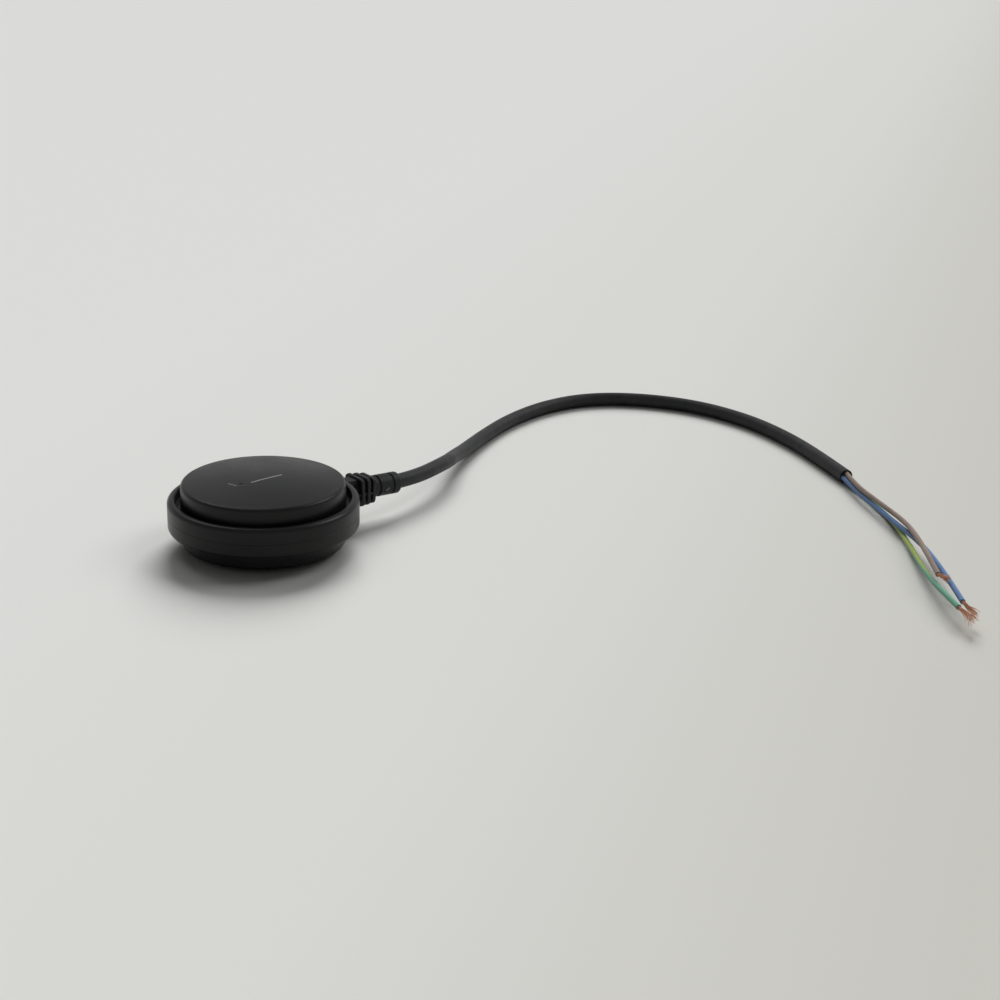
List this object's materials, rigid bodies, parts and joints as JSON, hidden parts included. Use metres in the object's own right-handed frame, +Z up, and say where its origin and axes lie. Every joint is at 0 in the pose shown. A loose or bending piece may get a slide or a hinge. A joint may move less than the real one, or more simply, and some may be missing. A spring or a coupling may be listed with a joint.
{
  "type": "float level switch",
  "caption": "Disc-shaped float level switch with a finned cable gland and a long rubber cable ending in stripped cores; a ball rolling inside works a microswitch.",
  "frame": {"origin": "middle of the small flat spot under the float, on the floor it rests on", "axes": "+Z up through the float's thickness; +X along the cable gland, away from the float; the cable bends round towards -Y"},
  "size_m": [0.4083, 0.3941, 0.0385],
  "materials": {
    "float_plastic": "moulded, satin",
    "inner_plastic": "moulded",
    "zinc_steel": "zinc plated",
    "potting_resin": "cast",
    "ball_steel": "ground and polished",
    "switch_plastic": "moulded",
    "plunger_plastic": "moulded",
    "spring_steel": "rolled",
    "terminal_brass": "tinned brass",
    "solder": "dull solder",
    "gland_rubber": "moulded, satin",
    "sheath_rubber": "extruded, satin",
    "core_brown": "extruded",
    "core_blue": "extruded",
    "core_green_yellow": "extruded, green with a yellow stripe",
    "copper": "bare stranded copper"
  },
  "bodies": {
    "float": {"upper_shell": "float_plastic", "lower_shell": "float_plastic", "cable_clamp": "inner_plastic", "clamp_screws": "zinc_steel", "capsule_base": "inner_plastic", "capsule_cover": "inner_plastic", "potting_plug": "potting_resin", "microswitch_case": "switch_plastic", "microswitch_cover": "switch_plastic", "microswitch_screws": "zinc_steel", "lever_pin": "spring_steel", "terminal_closed": "terminal_brass", "terminal_common": "terminal_brass", "terminal_open": "terminal_brass", "solder_joints": "solder", "lead_brown": "core_brown", "lead_blue": "core_blue", "lead_green_yellow": "core_green_yellow", "cable_gland": "gland_rubber", "cable_sheath": "sheath_rubber", "core_brown": "core_brown", "core_blue": "core_blue", "core_green_yellow": "core_green_yellow", "strands_brown": "copper", "strands_blue": "copper", "strands_green_yellow": "copper"},
    "ball": {"steel_ball": "ball_steel"},
    "lever": {"switch_lever": "spring_steel"},
    "plunger": {"switch_plunger": "plunger_plastic"}
  },
  "joints": [
    {"name": "ball_roll", "type": "slide", "parent": "float", "child": "ball", "axis": [1, 0, 0], "range_m": [0, 0.01265]},
    {"name": "lever_hinge", "type": "hinge", "parent": "float", "child": "lever", "pos_m": [-0.0067, -0.0122, 0.01915], "axis": [0, 0, -1], "range_deg": [0, 12.8]},
    {"name": "plunger_slide", "type": "slide", "parent": "float", "child": "plunger", "axis": [1, 0, 0], "range_m": [0, 0.0012], "stiffness_N_per_m": 80}
  ],
  "couplings": [
    {"joint": "lever_hinge", "follows": "ball_roll", "rad_per_m": 17.66},
    {"joint": "plunger_slide", "follows": "ball_roll", "ratio": 0.09486}
  ]
}
